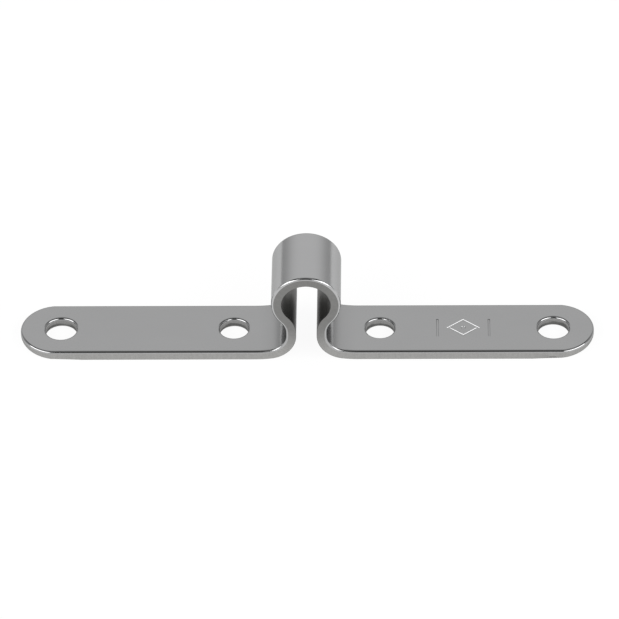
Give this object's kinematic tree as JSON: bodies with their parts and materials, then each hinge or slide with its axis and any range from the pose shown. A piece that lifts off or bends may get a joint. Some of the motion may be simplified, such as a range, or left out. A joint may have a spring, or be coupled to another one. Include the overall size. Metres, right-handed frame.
{
  "type": "hinge strap eye",
  "caption": "Flat steel strap bent into an omega: two wings with round ends and screw holes, and an open eye in the middle that takes the pin of a lift-off hinge.",
  "frame": {"origin": "middle of the underside of the two wings, below the eye, on the face that is screwed down", "axes": "+X along the strap, +Y along the axis of the eye, +Z out of the mounting face towards the eye"},
  "size_m": [0.0954, 0.012, 0.0174],
  "materials": {
    "polished_steel": "polished"
  },
  "bodies": {
    "root": {"strap": "polished_steel"}
  },
  "joints": []
}
